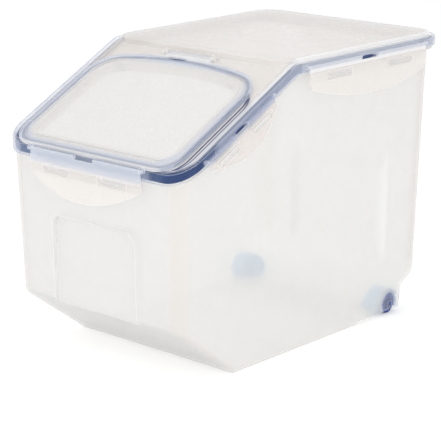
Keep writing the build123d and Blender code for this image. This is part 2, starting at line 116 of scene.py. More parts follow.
# ---------------------------------------------------------------- the folded rim
@dataclass(frozen=True)
class Fold:
    """The side view of the folded rim: a slope in front, an arc at the crease and a level rear.

    All sheets of the fold are a distance v (the rise) above the band's lower edge, and their arcs share
    one centre.

    Attributes:
        front_y: Y of the slope's front edge.
        front_height: Height of the slope there.
        rear_height: Height of the level part.
        run: Length of the slope in plan, from its front edge to the sharp crease.
        radius: Radius of the arc at the crease.
    """

    front_y: float = -176.4 * MM
    front_height: float = 179.0 * MM
    rear_height: float = 252.8 * MM
    run: float = 143.5 * MM
    radius: float = 9.0 * MM

    @property
    def angle(self) -> float:
        """Angle of the slope in radians."""
        return math.atan2(self.rear_height - self.front_height, self.run)

    def on_slope(self, along: Length, across: Length = 0.0,
                 rise: Length = 0.0) -> tuple[Length, Length, Length]:
        """Finds a point, or an array of points, by its place on the slope.

        Args:
            along: Distance up the slope from its front edge.
            across: Its X.
            rise: Distance above the slope, square to it.

        Returns:
            X, Y and Z.
        """
        a = self.angle
        return (across, self.front_y + along * math.cos(a) - rise * math.sin(a),
                self.front_height + along * math.sin(a) + rise * math.cos(a))

    def height(self, y: np.ndarray, v: np.ndarray) -> np.ndarray:
        """Height of the sheet of rise v at y: slope, then arc, then level.

        The arc is z = centre z + sqrt((radius + v) ** 2 - (y - centre y) ** 2).

        Args:
            y: Places along the bin.
            v: Rise of the sheet at each of them.

        Returns:
            The heights.
        """
        a = self.angle
        centre_y = self.front_y + self.run + self.radius * math.tan(a / 2)
        centre_z = self.rear_height - self.radius
        reach = self.radius + v
        slope = self.front_height + (y - self.front_y) * math.tan(a) + v / math.cos(a)
        arc = centre_z + np.sqrt(np.maximum(reach ** 2 - (y - centre_y) ** 2, 0))
        z = np.where(y < centre_y - reach * math.sin(a), slope, arc)
        return np.where(y > centre_y, self.rear_height + v, z)


# ---------------------------------------------------------------- regions and zones of a moulded wall
@dataclass(frozen=True, kw_only=True)
class Region:
    """Part of a piece, given as nodes that are 1 in it and 0 outside it.

    Attributes:
        blend_mm: Width over which the region fades out.
    """

    blend_mm: float = 2.0

    def share(self, tree: Tree, place: Socket) -> Socket:
        """Adds the region's nodes.

        Args:
            tree: The material's node tree.
            place: Object coordinates.

        Returns:
            The output socket that is 1 in the region and 0 outside it.
        """
        raise NotImplementedError

    def fade(self, tree: Tree, value: Socket, limit: float) -> Socket:
        """Adds a smooth step that turns a length into a share.

        Args:
            tree: The material's node tree.
            value: Output of the length.
            limit: Length at which the share is one half.

        Returns:
            Output of the share, which rises from 0 to 1 round the limit.
        """
        half = self.blend_mm * MM / 2
        step = {"interpolation_type": "SMOOTHSTEP", "From Min": limit - half, "From Max": limit + half}
        return add(tree, "ShaderNodeMapRange", step, {"Value": value}).outputs["Result"]


@dataclass(frozen=True, kw_only=True)
class RimRegion(Region):
    """Strip round the outside of a rounded rectangle that lies in a plane turned about X.

    It holds the points p of that plane for which length(max(|p| - (half - radius), 0)) lies between
    radius and radius + reach.

    Attributes:
        half: Half of the rectangle's width and half of its length.
        radius: Its corner radius.
        reach: Width of the strip.
        origin: Middle of the rectangle.
        tilt: Turn of its plane about X, in radians.
    """

    half: tuple[float, float]
    radius: float
    reach: float = 15.0 * MM
    origin: Point = (0.0, 0.0, 0.0)
    tilt: float = 0.0

    def share(self, tree: Tree, place: Socket) -> Socket:
        """Adds the length and the two steps at the strip's edges.

        Args:
            tree: The material's node tree.
            place: Object coordinates.

        Returns:
            Output of the share.
        """
        local = add(tree, "ShaderNodeMapping", {"vector_type": "TEXTURE", "Location": self.origin,
                                                "Rotation": (self.tilt, 0.0, 0.0)}, {"Vector": place})
        flat = add(tree, "ShaderNodeVectorMath", {"operation": "MULTIPLY", 1: (1.0, 1.0, 0.0)},
                   {0: local.outputs["Vector"]})
        folded = add(tree, "ShaderNodeVectorMath", {"operation": "ABSOLUTE"}, {0: flat.outputs["Vector"]})
        inner = (self.half[0] - self.radius, self.half[1] - self.radius, 0.0)
        beyond = add(tree, "ShaderNodeVectorMath", {"operation": "SUBTRACT", 1: inner},
                     {0: folded.outputs["Vector"]})
        corner = add(tree, "ShaderNodeVectorMath", {"operation": "MAXIMUM", 1: (0.0, 0.0, 0.0)},
                     {0: beyond.outputs["Vector"]})
        length = add(tree, "ShaderNodeVectorMath", {"operation": "LENGTH"},
                     {0: corner.outputs["Vector"]}).outputs["Value"]
        outside = self.fade(tree, length, self.radius)
        beyond_reach = self.fade(tree, length, self.radius + self.reach)
        strip = add(tree, "ShaderNodeMath", {"operation": "SUBTRACT"}, {0: outside, 1: beyond_reach})
        return strip.outputs["Value"]


@dataclass(frozen=True, kw_only=True)
class BandRegion(Region):
    """All above the lower edge of the folded band, where a clip lies over the gasket.

    Attributes:
        lift: Height above that edge at which the region starts.
        fold: The folded rim.
    """

    lift: float = 0.0
    fold: Fold = Fold()

    def share(self, tree: Tree, place: Socket) -> Socket:
        """Adds the height over the edge, which is z - min(rear height, height of the slope at y).

        Args:
            tree: The material's node tree.
            place: Object coordinates.

        Returns:
            Output of the share.
        """
        split = add(tree, "ShaderNodeSeparateXYZ", None, {0: place})
        rise = math.tan(self.fold.angle)
        at_zero = self.fold.front_height - self.fold.front_y * rise
        slope = add(tree, "ShaderNodeMath", {"operation": "MULTIPLY_ADD", 1: rise, 2: at_zero},
                    {0: split.outputs["Y"]})
        edge = add(tree, "ShaderNodeMath", {"operation": "MINIMUM", 1: self.fold.rear_height},
                   {0: slope.outputs["Value"]})
        over = add(tree, "ShaderNodeMath", {"operation": "SUBTRACT"},
                   {0: split.outputs["Z"], 1: edge.outputs["Value"]})
        return self.fade(tree, over.outputs["Value"], self.lift)


@dataclass(frozen=True, kw_only=True)
class SpotRegion(Region):
    """Ellipsoid about a place: the points p with length((p - centre) / half) below 1.

    Attributes:
        centre: Its middle.
        half: Half of its three sizes.
        tilt: Turn of its second and third size about X, in radians.
        mirrored: Whether the same ellipsoid lies on the other side of the bin too.
    """

    centre: Point
    half: Point
    tilt: float = 0.0
    mirrored: bool = True

    def share(self, tree: Tree, place: Socket) -> Socket:
        """Adds the depth in the ellipsoid, taken as the least half size times (1 - length).

        Args:
            tree: The material's node tree.
            place: Object coordinates.

        Returns:
            Output of the share.
        """
        if self.mirrored:
            split = add(tree, "ShaderNodeSeparateXYZ", None, {0: place})
            side = add(tree, "ShaderNodeMath", {"operation": "ABSOLUTE"}, {0: split.outputs["X"]})
            place = add(tree, "ShaderNodeCombineXYZ", None,
                        {"X": side.outputs["Value"], "Y": split.outputs["Y"], "Z": split.outputs["Z"]}
                        ).outputs["Vector"]
        local = add(tree, "ShaderNodeMapping", {"vector_type": "TEXTURE", "Location": self.centre,
                                                "Rotation": (self.tilt, 0.0, 0.0), "Scale": self.half},
                    {"Vector": place})
        away = add(tree, "ShaderNodeVectorMath", {"operation": "LENGTH"}, {0: local.outputs["Vector"]})
        least = min(self.half)
        depth = add(tree, "ShaderNodeMath", {"operation": "MULTIPLY_ADD", 1: -least, 2: least},
                    {0: away.outputs["Value"]})
        return self.fade(tree, depth.outputs["Value"], 0.0)


@dataclass(frozen=True, kw_only=True)
class RoundCorners(Region):
    """Upright round corners of a wall, found by the wall's normal.

    Attributes:
        full: Value of |nx * ny| at which the region is whole: 1 / 2, which it has in mid-corner.
    """

    full: float = 0.5

    def share(self, tree: Tree, place: Socket) -> Socket:
        """Adds the product |nx * ny|, which is 0 on a flat wall and highest in mid-corner.

        Args:
            tree: The material's node tree.
            place: Object coordinates, which aren't needed here.

        Returns:
            Output of the share.
        """
        split = add(tree, "ShaderNodeSeparateXYZ", None,
                    {0: add(tree, "ShaderNodeNewGeometry").outputs["Normal"]})
        product = add(tree, "ShaderNodeMath", {"operation": "MULTIPLY"},
                      {0: split.outputs["X"], 1: split.outputs["Y"]})
        turn = add(tree, "ShaderNodeMath", {"operation": "ABSOLUTE"}, {0: product.outputs["Value"]})
        share = add(tree, "ShaderNodeMapRange", {"From Max": self.full}, {"Value": turn.outputs["Value"]})
        return share.outputs["Result"]


@dataclass(frozen=True, kw_only=True)
class CutCorners(Region):
    """The four corners of a rectangular piece, cut off by diagonals, where the wall is seen straight on.

    Seen aslant, the way through the round wall is long and its haze closes up again.

    Attributes:
        middle_y: Middle of the piece along Y.
        limit: Sum of |x| and |y - middle_y| from which the region starts.
        aslant: Facing value, 0 straight on and 1 at the outline, at which the region is gone.
        straight: Facing value at which it is whole.
    """

    middle_y: float
    limit: float
    aslant: float = 0.48
    straight: float = 0.24

    def share(self, tree: Tree, place: Socket) -> Socket:
        """Adds the sum of both distances, and multiplies its share by that of the facing value.

        Args:
            tree: The material's node tree.
            place: Object coordinates.

        Returns:
            Output of the share.
        """
        shifted = add(tree, "ShaderNodeVectorMath",
                      {"operation": "SUBTRACT", 1: (0.0, self.middle_y, 0.0)}, {0: place})
        folded = add(tree, "ShaderNodeVectorMath", {"operation": "ABSOLUTE"}, {0: shifted.outputs["Vector"]})
        total = add(tree, "ShaderNodeVectorMath", {"operation": "DOT_PRODUCT", 1: (1.0, 1.0, 0.0)},
                    {0: folded.outputs["Vector"]})
        corner = self.fade(tree, total.outputs["Value"], self.limit)
        away = add(tree, "ShaderNodeLayerWeight", {"Blend": 0.5}).outputs["Facing"]
        facing = add(tree, "ShaderNodeMapRange", {"interpolation_type": "SMOOTHSTEP", "From Min": self.aslant,
                                                  "From Max": self.straight}, {"Value": away})
        both = add(tree, "ShaderNodeMath", {"operation": "MULTIPLY"},
                   {0: corner, 1: facing.outputs["Result"]})
        return both.outputs["Value"]


@dataclass(frozen=True)
class Zone:
    """A region in which the wall is clearer or cloudier than the rest.

    Attributes:
        region: Where the zone lies.
        clear: Share of light that one face lets through there.
        glow: Colour of the haze there, sRGB hex: beside the navy silicone it turns light blue.
        within: Region outside which the zone doesn't count.
    """

    region: Region
    clear: float
    glow: str
    within: Optional[Region] = None

    def share(self, tree: Tree, place: Socket) -> Socket:
        """Adds the region's share, times the share of the one that holds it.

        Args:
            tree: The material's node tree.
            place: Object coordinates.

        Returns:
            The output socket that is 1 in the zone and 0 outside it.
        """
        own = self.region.share(tree, place)
        if self.within is None:
            return own
        return add(tree, "ShaderNodeMath", {"operation": "MULTIPLY"},
                   {0: own, 1: self.within.share(tree, place)}).outputs["Value"]


# ---------------------------------------------------------------- finishes
@dataclass(frozen=True)
class Grain:
    """Grain of a spark-eroded mould, as a relief and as a slight change of the gloss.

    Attributes:
        size_mm: Size of the grain, drawn a few times as coarse as the real 0.3 mm so that it shows.
        depth_mm: Depth of the grain.
        detail: Octaves of finer grain in it.
        strength: Strength of the relief.
        swing: Least and most roughness, as shares of the middle one.
    """

    size_mm: float
    depth_mm: float
    detail: float
    strength: float
    swing: tuple[float, float]

    def lay(self, tree: Tree, place: Socket, roughness: float) -> tuple[Socket, Socket]:
        """Adds the grain's nodes.

        Args:
            tree: The material's node tree.
            place: Object coordinates.
            roughness: Middle roughness.

        Returns:
            Output of the bumped normal and output of the roughness.
        """
        grain = add(tree, "ShaderNodeTexNoise", {"Scale": 1 / (self.size_mm * MM), "Detail": self.detail},
                    {"Vector": place})
        relief = add(tree, "ShaderNodeBump", {"Strength": self.strength, "Distance": self.depth_mm * MM},
                     {"Height": grain.outputs["Fac"]})
        least, most = self.swing
        rough = add(tree, "ShaderNodeMapRange",
                    {"From Min": NOISE_LOW, "From Max": NOISE_HIGH,
                     "To Min": roughness * least, "To Max": roughness * most},
                    {"Value": grain.outputs["Fac"]})
        return relief.outputs["Normal"], rough.outputs["Result"]


@dataclass(frozen=True)
class RubbedAndHighlitEdge:
    """Edges where the rounded normal leaves the true one: rubbed by hands and shelves, and on see-through
    plastic whitened as a painted highlight along the rounded edge.

    Attributes:
        width_mm: Width of the rounded edge.
        start: Cosine between both normals at which the wear and the painted highlight begin to show.
        full: Cosine at which it is complete.
    """

    width_mm: float
    start: float
    full: float

    def share(self, tree: Tree, most: float = 1.0) -> Socket:
        """Adds the edge's nodes.

        Args:
            tree: The material's node tree.
            most: Value where the edge is complete.

        Returns:
            The output socket that is 0 away from edges.
        """
        rounded = add(tree, "ShaderNodeBevel", {"samples": EDGE_SAMPLES, "Radius": self.width_mm * MM})
        agree = add(tree, "ShaderNodeVectorMath", {"operation": "DOT_PRODUCT"},
                    {0: rounded.outputs["Normal"], 1: add(tree, "ShaderNodeNewGeometry").outputs["Normal"]})
        wear = add(tree, "ShaderNodeMapRange",
                   {"From Min": self.start, "From Max": self.full, "To Max": most},
                   {"Value": agree.outputs["Value"]})
        return wear.outputs["Result"]


@dataclass(frozen=True)
class Polypropylene:
    """Injection-moulded polypropylene without pigment: clear share and haze in one wall.

    The plastic is a milky film over what lies behind it. A ray that crosses a face keeps the share
    clear ** path, where path = 1 / sqrt(1 - (1 - cosine ** 2) / ior ** 2) is how much longer its bent way
    through the wall is than the straight one, so walls turn a little whiter where they curve away.
    Edges are cloudier and turn white: partly wear where hands rub them, partly a painted highlight where
    light leaves the rounded edge.

    Attributes:
        name: The material's name.
        tint: Colour of the haze, sRGB hex.
        clear: Share of light that one face lets through straight on.
        gloss: Roughness of the shine.
        shine: How much of the surface's mirror shine shows, 1 for polished steel in the mould.
        grain: Grain of the mould.
        edge: Width of the edges, and of their wear and painted highlight.
        edge_haze: Share of the clearness that an edge loses, where wear and the painted highlight whiten it.
        flow_mm: Length of the bands that the melt leaves in the haze.
        flow_swing: Share by which the clearness changes over such a band.
        flow_detail: Octaves of finer bands in it.
        flow_twist: How much the bands are bent.
        passed_on: Share of the lamps' light that goes on through the haze.
        ior: Index of refraction of polypropylene.
        zones: Places that differ, each laid over the ones before it.
    """

    name: str
    tint: str
    clear: float
    gloss: float = 0.32
    shine: float = 0.6
    grain: Grain = Grain(size_mm=0.9, depth_mm=0.008, detail=2.0, strength=0.6, swing=(0.9, 1.15))
    edge: RubbedAndHighlitEdge = RubbedAndHighlitEdge(width_mm=1.2, start=0.995, full=0.80)
    edge_haze: float = 0.35
    flow_mm: float = 70.0
    flow_swing: float = 0.02
    flow_detail: float = 3.0
    flow_twist: float = 0.6
    passed_on: float = 0.85
    ior: float = 1.49
    zones: tuple[Zone, ...] = ()

    def clearness(self, tree: Tree, place: Socket) -> tuple[Socket, Socket]:
        """Adds the share that one face lets through straight on, and the haze's colour.

        Args:
            tree: The material's node tree.
            place: Object coordinates.

        Returns:
            Output of the share and output of the colour.
        """
        # Flow of the melt: broad bands in which the haze is a little thicker or thinner.
        flow = add(tree, "ShaderNodeTexNoise",
                   {"Scale": 1 / (self.flow_mm * MM), "Detail": self.flow_detail,
                    "Distortion": self.flow_twist}, {"Vector": place})
        share = add(tree, "ShaderNodeMapRange",
                    {"From Min": NOISE_LOW, "From Max": NOISE_HIGH,
                     "To Min": self.clear * (1 + self.flow_swing),
                     "To Max": self.clear * (1 - self.flow_swing)},
                    {"Value": flow.outputs["Fac"]}).outputs["Result"]
        colour = add(tree, "ShaderNodeRGB")
        colour.outputs[0].default_value = linear(self.tint)
        haze = colour.outputs[0]
        for zone in self.zones:
            inside = zone.share(tree, place)
            share = add(tree, "ShaderNodeMix", {"data_type": "FLOAT", 3: zone.clear},
                        {0: inside, 2: share}).outputs[0]
            haze = add(tree, "ShaderNodeMix", {"data_type": "RGBA", 7: linear(zone.glow)},
                       {0: inside, 6: haze}).outputs[2]
        return share, haze

    def along_path(self, tree: Tree, straight: Socket, away: Socket) -> Socket:
        """Adds the longer way of a ray that crosses the wall aslant; see the class for the formula.

        Args:
            tree: The material's node tree.
            straight: Share let through straight on.
            away: Facing value, which is 1 - cosine.

        Returns:
            Output of the share let through along the ray.
        """
        cosine = add(tree, "ShaderNodeMath", {"operation": "SUBTRACT", 0: 1.0}, {1: away})
        square = add(tree, "ShaderNodeMath", {"operation": "MULTIPLY"},
                     {0: cosine.outputs["Value"], 1: cosine.outputs["Value"]})
        bend = self.ior ** -2
        bent = add(tree, "ShaderNodeMath", {"operation": "MULTIPLY_ADD", 1: bend, 2: 1 - bend},
                   {0: square.outputs["Value"]})
        slant = add(tree, "ShaderNodeMath", {"operation": "INVERSE_SQRT"}, {0: bent.outputs["Value"]})
        return add(tree, "ShaderNodeMath", {"operation": "POWER"},
                   {0: straight, 1: slant.outputs["Value"]}).outputs["Value"]

    def mirror(self, tree: Tree, away: Socket) -> Socket:
        """Adds the mirror share by Schlick's rule: shine * (f0 + (1 - f0) * (1 - cosine) ** 5).

        It is the same from either side of the thin wall.

        Args:
            tree: The material's node tree.
            away: Facing value, which is 1 - cosine.

        Returns:
            Output of the mirror share.
        """
        f0 = ((self.ior - 1) / (self.ior + 1)) ** 2
        glance = add(tree, "ShaderNodeMath", {"operation": "POWER", 1: 5.0}, {0: away})
        return add(tree, "ShaderNodeMath",
                   {"operation": "MULTIPLY_ADD", 1: (1 - f0) * self.shine, 2: f0 * self.shine},
                   {0: glance.outputs["Value"]}).outputs["Value"]

    def build(self) -> bpy.types.Material:
        """Builds the node tree.

        Returns:
            The finished material.
        """
        material, tree = new_material(self.name)
        place = add(tree, "ShaderNodeTexCoord").outputs["Object"]
        normal, rough = self.grain.lay(tree, place, self.gloss)
        # Edges turn white: partly wear, partly a painted highlight along the rounded edge.
        rubbed = self.edge.share(tree)
        kept = add(tree, "ShaderNodeMath", {"operation": "MULTIPLY_ADD", 1: -self.edge_haze, 2: 1.0},
                   {0: rubbed})
        share, haze = self.clearness(tree, place)
        worn_and_highlit_haze = add(tree, "ShaderNodeMix", {"data_type": "RGBA", 7: linear(WHITE)}, {0: rubbed, 6: haze})
        straight = add(tree, "ShaderNodeMath", {"operation": "MULTIPLY"},
                       {0: share, 1: kept.outputs["Value"]})
        away = add(tree, "ShaderNodeLayerWeight", {"Blend": 0.5}).outputs["Facing"]
        through = self.along_path(tree, straight.outputs["Value"], away)
        # The haze scatters lamp light onwards instead of stopping it, so it casts only a faint shadow.
        path = add(tree, "ShaderNodeLightPath")
        lit = add(tree, "ShaderNodeMath", {"operation": "MULTIPLY", 1: self.passed_on},
                  {0: path.outputs["Is Shadow Ray"]})
        seen = add(tree, "ShaderNodeMix", {"data_type": "FLOAT", 3: 1.0},
                   {0: lit.outputs["Value"], 2: through})
        solid = add(tree, "ShaderNodeMath", {"operation": "SUBTRACT", 0: 1.0}, {1: seen.outputs[0]})
        skin = add(tree, "ShaderNodeBsdfPrincipled",
                   {"IOR": self.ior, "Specular IOR Level": BARE_SPECULAR * self.shine},
                   {"Base Color": worn_and_highlit_haze.outputs[2], "Roughness": rough, "Normal": normal,
                    "Alpha": solid.outputs["Value"]})
        polish = add(tree, "ShaderNodeBsdfAnisotropic", {"Color": linear(WHITE)},
                     {"Roughness": rough, "Normal": normal})
        whole = add(tree, "ShaderNodeMixShader", None,
                    {0: self.mirror(tree, away), 1: skin.outputs["BSDF"], 2: polish.outputs["BSDF"]})
        add(tree, "ShaderNodeOutputMaterial", None, {"Surface": whole.outputs["Shader"]})
        return material


@dataclass(frozen=True)
class NavyMoulding:
    """Opaque navy moulding, soft silicone or hard polypropylene: satin skin, fine grain, and a pale bloom.

    Attributes:
        name: The material's name.
        tint: Colour of the pigment, sRGB hex.
        bloom: Colour of the pale dust or scuffs on it.
        roughness: Middle roughness of the skin.
        specular: Strength of the mirror shine, 0.5 for a bare polished skin.
        grain: Grain of the mould.
        edge: Width and wear of the edges.
        bloom_mm: Size of the patches of bloom.
        bloom_range: Values of the noise at which the bloom sets in and is full.
        bloom_detail: Octaves of finer patches in it.
        worn: Share of the bloom's colour where it is full, and on rubbed edges.
        ior: Index of refraction, 1.41 for silicone; the wheels keep it.
    """

    name: str
    tint: str
    bloom: str
    roughness: float = 0.5
    specular: float = 0.3
    grain: Grain = Grain(size_mm=0.8, depth_mm=0.03, detail=3.0, strength=0.5, swing=(0.85, 1.15))
    edge: RubbedAndHighlitEdge = RubbedAndHighlitEdge(width_mm=0.5, start=0.98, full=0.75)
    bloom_mm: float = 18.0
    bloom_range: tuple[float, float] = (0.35, 0.75)
    bloom_detail: float = 4.0
    worn: float = 0.3
    ior: float = 1.41

    def build(self) -> bpy.types.Material:
        """Builds the node tree.

        Returns:
            The finished material.
        """
        material, tree = new_material(self.name)
        place = add(tree, "ShaderNodeTexCoord").outputs["Object"]
        normal, rough = self.grain.lay(tree, place, self.roughness)
        dust = add(tree, "ShaderNodeTexNoise",
                   {"Scale": 1 / (self.bloom_mm * MM), "Detail": self.bloom_detail}, {"Vector": place})
        start, full = self.bloom_range
        amount = add(tree, "ShaderNodeMapRange", {"From Min": start, "From Max": full, "To Max": self.worn},
                     {"Value": dust.outputs["Fac"]})
        pale = add(tree, "ShaderNodeMath", {"operation": "MAXIMUM"},
                   {0: amount.outputs["Result"], 1: self.edge.share(tree, self.worn)})
        colour = add(tree, "ShaderNodeMix",
                     {"data_type": "RGBA", 6: linear(self.tint), 7: linear(self.bloom)},
                     {0: pale.outputs["Value"]})
        skin = add(tree, "ShaderNodeBsdfPrincipled", {"IOR": self.ior, "Specular IOR Level": self.specular},
                   {"Base Color": colour.outputs[2], "Roughness": rough, "Normal": normal})
        add(tree, "ShaderNodeOutputMaterial", None, {"Surface": skin.outputs["BSDF"]})
        return material


# ---------------------------------------------------------------- studio and camera
@dataclass(frozen=True)
class Lamp:
    """One soft box.

    Attributes:
        name: The lamp's name.
        place: Where it hangs.
        aim: What it is turned to.
        size: Its width and height.
        watts: Its power.
        tint: Its colour, sRGB hex.
    """

    name: str
    place: Point
    aim: Point
    size: tuple[float, float]
    watts: float
    tint: str = WHITE

    def build(self) -> bpy.types.Object:
        """Makes the area lamp, turned from its place towards its aim.

        Returns:
            The lamp's object.
        """
        light = bpy.data.lights.new(self.name, "AREA")
        light.shape = "RECTANGLE"
        light.size, light.size_y = self.size
        light.energy = self.watts
        light.color = linear(self.tint)[:3]
        lamp = bpy.data.objects.new(self.name, light)
        lamp.location = self.place
        lamp.rotation_euler = (Vector(self.aim) - Vector(self.place)).to_track_quat("-Z", "Y").to_euler()
        bpy.context.scene.collection.objects.link(lamp)
        return lamp


@dataclass(frozen=True)
class Studio:
    """Pale floor, white surroundings and plain soft light.

    Attributes:
        sky: Strength of the light from all around.
        floor_half: Half of the floor's side.
        floor_tint: Colour of the floor's board, sRGB hex.
        floor_glow: Light that the floor adds where it is seen, so that it shows as white.
        crossings: Clear faces that a ray may cross: the bin's many walls lie one behind another.
        lamps: The soft boxes.
    """

    sky: float = 0.75
    floor_half: float = 7.0
    floor_tint: str = "F6F6F6"
    floor_glow: float = 0.26
    crossings: int = 40
    lamps: tuple[Lamp, ...] = (
        Lamp("soft_box_left", (-1.3, -1.7, 1.2), (0.0, 0.0, 0.12), (1.4, 1.4), 11.0),
        Lamp("soft_box_right", (1.9, -0.9, 0.9), (0.0, 0.0, 0.12), (1.2, 1.6), 11.0),
        Lamp("soft_box_above", (0.1, 0.6, 2.1), (0.0, 0.1, 0.1), (1.8, 1.4), 2.0),
    )

    def surroundings(self) -> None:
        """Lights the scene evenly and shows pure white to the eye and to mirrors."""
        world = bpy.data.worlds.new("white_surroundings")
        bpy.context.scene.world = world
        world.use_nodes = True
        tree = world.node_tree
        tree.nodes.clear()
        path = add(tree, "ShaderNodeLightPath")
        direct = add(tree, "ShaderNodeMath", {"operation": "MAXIMUM"},
                     {0: path.outputs["Is Camera Ray"], 1: path.outputs["Is Glossy Ray"]})
        shown = add(tree, "ShaderNodeMath", {"operation": "MAXIMUM"},
                    {0: direct.outputs["Value"], 1: path.outputs["Is Transmission Ray"]})
        strength = add(tree, "ShaderNodeMapRange", {"To Min": self.sky, "To Max": 1.0},
                       {"Value": shown.outputs["Value"]})
        glow = add(tree, "ShaderNodeBackground", {"Color": linear(WHITE)},
                   {"Strength": strength.outputs["Result"]})
        add(tree, "ShaderNodeOutputWorld", None, {"Surface": glow.outputs["Background"]})

    def board(self) -> bpy.types.Material:
        """Makes the floor's board, matt and white, which glows a little where it is seen.

        Returns:
            The board's material.
        """
        material, tree = new_material("matt_white_board")
        path = add(tree, "ShaderNodeLightPath")
        shown = add(tree, "ShaderNodeMath", {"operation": "MAXIMUM"},
                    {0: path.outputs["Is Camera Ray"], 1: path.outputs["Is Transmission Ray"]})
        strength = add(tree, "ShaderNodeMapRange", {"To Min": 0.0, "To Max": self.floor_glow},
                       {"Value": shown.outputs["Value"]})
        paint = add(tree, "ShaderNodeBsdfDiffuse", {"Color": linear(self.floor_tint)})
        glow = add(tree, "ShaderNodeEmission", {"Color": linear(WHITE)},
                   {"Strength": strength.outputs["Result"]})
        both = add(tree, "ShaderNodeAddShader", None, {0: paint.outputs["BSDF"], 1: glow.outputs["Emission"]})
        add(tree, "ShaderNodeOutputMaterial", None, {"Surface": both.outputs["Shader"]})
        return material

    def floor(self) -> bpy.types.Object:
        """Lays a square floor that keeps the bin's shadow.

        Returns:
            The floor's object, which isn't part of the bin.
        """
        reach = self.floor_half
        mesh = bpy.data.meshes.new("floor")
        corners = [(-reach, -reach, 0), (reach, -reach, 0), (reach, reach, 0), (-reach, reach, 0)]
        mesh.from_pydata(corners, [], [(0, 1, 2, 3)])
        mesh.materials.append(self.board())
        floor = bpy.data.objects.new("floor", mesh)
        bpy.context.scene.collection.objects.link(floor)
        return floor

    def build(self) -> None:
        """Builds the surroundings, the floor and the lamps."""
        self.surroundings()
        self.floor()
        for lamp in self.lamps:
            lamp.build()
        bpy.context.scene.view_settings.view_transform = "Standard"
        bpy.context.scene.cycles.transparent_max_bounces = self.crossings


@dataclass(frozen=True)
class PhotoCamera:
    """Camera at the photograph's viewing angle, as fitted to points measured in it.

    Attributes:
        azimuth: Its angle round the bin, in degrees from the front to the right.
        elevation: Its angle above the floor, in degrees.
        roll: Its turn about the line of sight, in degrees.
        distance: Its distance from the target.
        target: The point that it looks at.
        focal_pixels: Focal length in pixels.
        picture_width: Width of the picture in pixels.
        sensor_mm: Width of the sensor.
        clip: Nearest and furthest distance that it sees.
    """

    azimuth: float = 42.354
    elevation: float = 15.328
    roll: float = -0.191
    distance: float = 1.60957
    target: Point = (-0.01408, 0.0036, 0.09911)
    focal_pixels: float = 1735.75
    picture_width: float = 441.0
    sensor_mm: float = 36.0
    clip: tuple[float, float] = (0.05, 40.0)

    def build(self) -> bpy.types.Object:
        """Makes the camera and puts it in use.

        The camera stands at target + distance * (sin a cos e, -cos a cos e, sin e), looks at the target,
        and is rolled about its line of sight.

        Returns:
            The camera's object.
        """
        a, e, r = (math.radians(x) for x in (self.azimuth, self.elevation, self.roll))
        back = Vector((math.sin(a) * math.cos(e), -math.cos(a) * math.cos(e), math.sin(e)))
        right = Vector((math.cos(a), math.sin(a), 0.0))
        up = back.cross(right)
        right, up = math.cos(r) * right + math.sin(r) * up, math.cos(r) * up - math.sin(r) * right
        data = bpy.data.cameras.new("photo_camera")
        data.sensor_fit = "HORIZONTAL"
        data.sensor_width = self.sensor_mm
        data.lens = self.focal_pixels / self.picture_width * self.sensor_mm
        data.clip_start, data.clip_end = self.clip
        camera = bpy.data.objects.new("photo_camera", data)
        turn = Matrix((right, up, back)).transposed().to_4x4()
        camera.matrix_world = Matrix.Translation(Vector(self.target) + self.distance * back) @ turn
        bpy.context.scene.collection.objects.link(camera)
        bpy.context.scene.camera = camera
        return camera


# ---------------------------------------------------------------- the gaskets
def ring_mesh(name: str, points: np.ndarray) -> bpy.types.Object:
    """Makes a closed ring from a grid of points that closes in both directions.

    Args:
        name: Name of the object and its mesh.
        points: Array of shape (stations, profile points, 3), the profile anticlockwise as seen
            looking along the path.

    Returns:
        The object, smooth-shaded, at the origin.
    """
    stations, around, _ = points.shape
    i, j = np.meshgrid(np.arange(stations), np.arange(around), indexing="ij")
    k, m = (i + 1) % stations, (j + 1) % around
    quads = np.stack([i * around + j, k * around + j, k * around + m, i * around + m], axis=-1).reshape(-1, 4)
    mesh = bpy.data.meshes.new(name)
    mesh.from_pydata(points.reshape(-1, 3).tolist(), [], quads.tolist())
    mesh.polygons.foreach_set("use_smooth", np.ones(len(quads), bool))
    mesh.validate()
    piece = bpy.data.objects.new(name, mesh)
    bpy.context.scene.collection.objects.link(piece)
    return piece


@dataclass(frozen=True)
class LidOutline:
    """Plan of the main lid: a rectangle with round corners, drawn in by an inset u.

    Attributes:
        half_width: Half of its width.
        front: Y of its front edge.
        rear: Y of its rear edge.
        radius: Radius of its corners.
        step: Distance between stations.
    """

    half_width: float = 110.0 * MM
    front: float = -176.4 * MM
    rear: float = 178.6 * MM
    radius: float = 25.0 * MM
    step: float = 2.0 * MM

    def stations(self) -> tuple[np.ndarray, np.ndarray]:
        """Lays stations round the outline, anticlockwise from above: a corner, then the side after it.

        Returns:
            The point of the rectangle of corner centres that each station belongs to, and its outward
            normal. A point of inset u is centre + normal * (radius - u).
        """
        w, f, b = self.half_width - self.radius, self.front + self.radius, self.rear - self.radius
        corners = np.array([(w, f), (w, b), (-w, b), (-w, f)])
        arc = int(math.ceil(self.radius * math.pi / 2 / self.step))
        centres, normals = [], []
        for k in range(4):
            start, end = corners[k], corners[(k + 1) % 4]
            side = k * math.pi / 2
            turn = side + np.linspace(-math.pi / 2, 0.0, arc, endpoint=False)
            centres.append(np.repeat(start[None], arc, axis=0))
            normals.append(np.stack([np.cos(turn), np.sin(turn)], axis=1))
            count = int(np.linalg.norm(end - start) / self.step)
            t = np.linspace(0.0, 1.0, count, endpoint=False)[:, None]
            centres.append(start + (end - start) * t)
            normals.append(np.repeat([[math.cos(side), math.sin(side)]], count, axis=0))
        return np.concatenate(centres), np.concatenate(normals)


